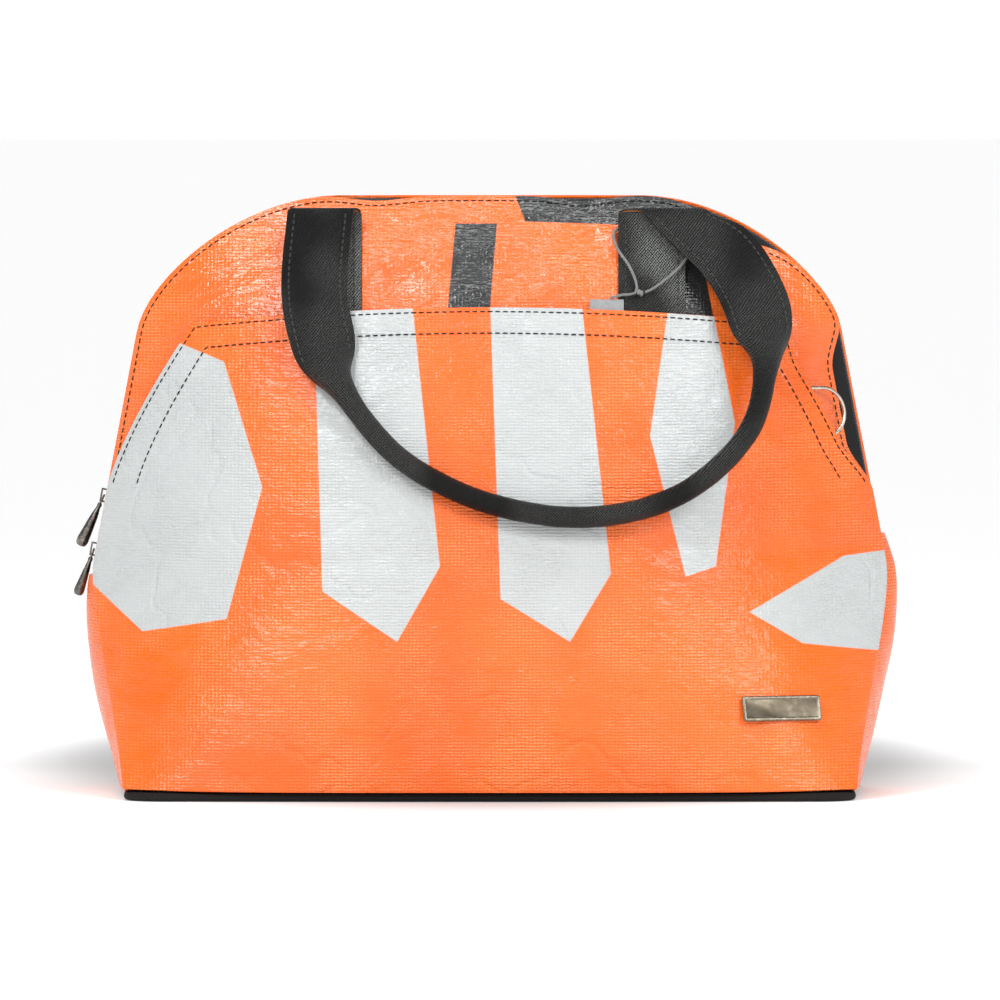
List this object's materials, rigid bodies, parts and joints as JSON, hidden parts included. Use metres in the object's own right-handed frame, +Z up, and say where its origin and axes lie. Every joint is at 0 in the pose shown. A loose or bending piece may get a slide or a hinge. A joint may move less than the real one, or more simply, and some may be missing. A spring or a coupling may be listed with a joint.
{
  "type": "zip-top carry bag",
  "caption": "Dome-topped carry bag in glossy printed vinyl, with a front slip pocket, rolled black leather handles and a zip over the top.",
  "frame": {"origin": "on the floor, under the middle of the base panel", "axes": "+X to the right of someone facing the front, -Y out of the front, +Z up"},
  "size_m": [0.4632, 0.2105, 0.339],
  "materials": {
    "printed_vinyl": "glossy woven-backed banner vinyl, orange with white and black blocks",
    "base_cloth": "coarse black coated cloth",
    "stiffener_board": "plain board",
    "zip_tape": "black woven tape",
    "zip_teeth": "black coil teeth",
    "patch_cloth": "black webbing",
    "black_leather": "cross-grain black leather, satin",
    "core_rope": "twisted cotton rope",
    "nickel_plate": "polished, darkened nickel",
    "gunmetal": "polished gunmetal",
    "grey_card": "matte card",
    "grey_string": "waxed string"
  },
  "bodies": {
    "bag": {"front_panel": "printed_vinyl", "back_panel": "printed_vinyl", "pocket_panel": "printed_vinyl", "side_gusset_left": "printed_vinyl", "side_gusset_right": "printed_vinyl", "base_panel": "base_cloth", "base_board": "stiffener_board", "zipper_tape_front": "zip_tape", "zipper_tape_back": "zip_tape", "zipper_teeth_front": "zip_teeth", "zipper_teeth_back": "zip_teeth", "zip_end_tab_left": "black_leather", "zip_end_tab_right": "black_leather", "strap_front_left": "black_leather", "strap_front_right": "black_leather", "strap_back_left": "black_leather", "strap_back_right": "black_leather", "strap_patch_front_left": "patch_cloth", "strap_patch_front_right": "patch_cloth", "strap_patch_back_left": "patch_cloth", "strap_patch_back_right": "patch_cloth", "nameplate": "nickel_plate", "nameplate_backing": "nickel_plate", "d_ring_tab": "patch_cloth", "hang_tag": "grey_card", "tag_string": "grey_string"},
    "front_handle": {"handle_front": "black_leather", "handle_front_core": "core_rope", "handle_front_lining_left": "black_leather", "handle_front_lining_right": "black_leather"},
    "back_handle": {"handle_back": "black_leather", "handle_back_core": "core_rope", "handle_back_lining_left": "black_leather", "handle_back_lining_right": "black_leather"},
    "upper_slider": {"zip_slider_upper": "gunmetal"},
    "upper_pull": {"zip_pull_upper": "gunmetal"},
    "lower_slider": {"zip_slider_lower": "gunmetal"},
    "lower_pull": {"zip_pull_lower": "gunmetal"},
    "ring": {"d_ring": "gunmetal"}
  },
  "joints": [
    {"name": "front_handle_swing", "type": "hinge", "parent": "bag", "child": "front_handle", "pos_m": [0, -0.02992, 0.33], "axis": [-1, 0, 0], "range_deg": [0, 155]},
    {"name": "back_handle_swing", "type": "hinge", "parent": "bag", "child": "back_handle", "pos_m": [0, 0.02992, 0.33], "axis": [1, 0, 0], "range_deg": [0, 155]},
    {"name": "upper_zip_slide", "type": "slide", "parent": "bag", "child": "upper_slider", "axis": [0.1867, 0, 0.9824], "range_m": [0, 0.08]},
    {"name": "lower_zip_slide", "type": "slide", "parent": "bag", "child": "lower_slider", "axis": [0.1867, 0, 0.9824], "range_m": [0, 0.003]},
    {"name": "upper_pull_swing", "type": "hinge", "parent": "upper_slider", "child": "upper_pull", "pos_m": [-0.21912, 0, 0.16872], "axis": [0, 1, 0], "range_deg": [0, 145]},
    {"name": "lower_pull_swing", "type": "hinge", "parent": "lower_slider", "child": "lower_pull", "pos_m": [-0.22492, 0, 0.13822], "axis": [0, 1, 0], "range_deg": [0, 40]},
    {"name": "ring_lift", "type": "hinge", "parent": "bag", "child": "ring", "pos_m": [0.18127, -0.03793, 0.21744], "axis": [0.0981, -0.1536, -0.9832], "range_deg": [0, 3]}
  ]
}
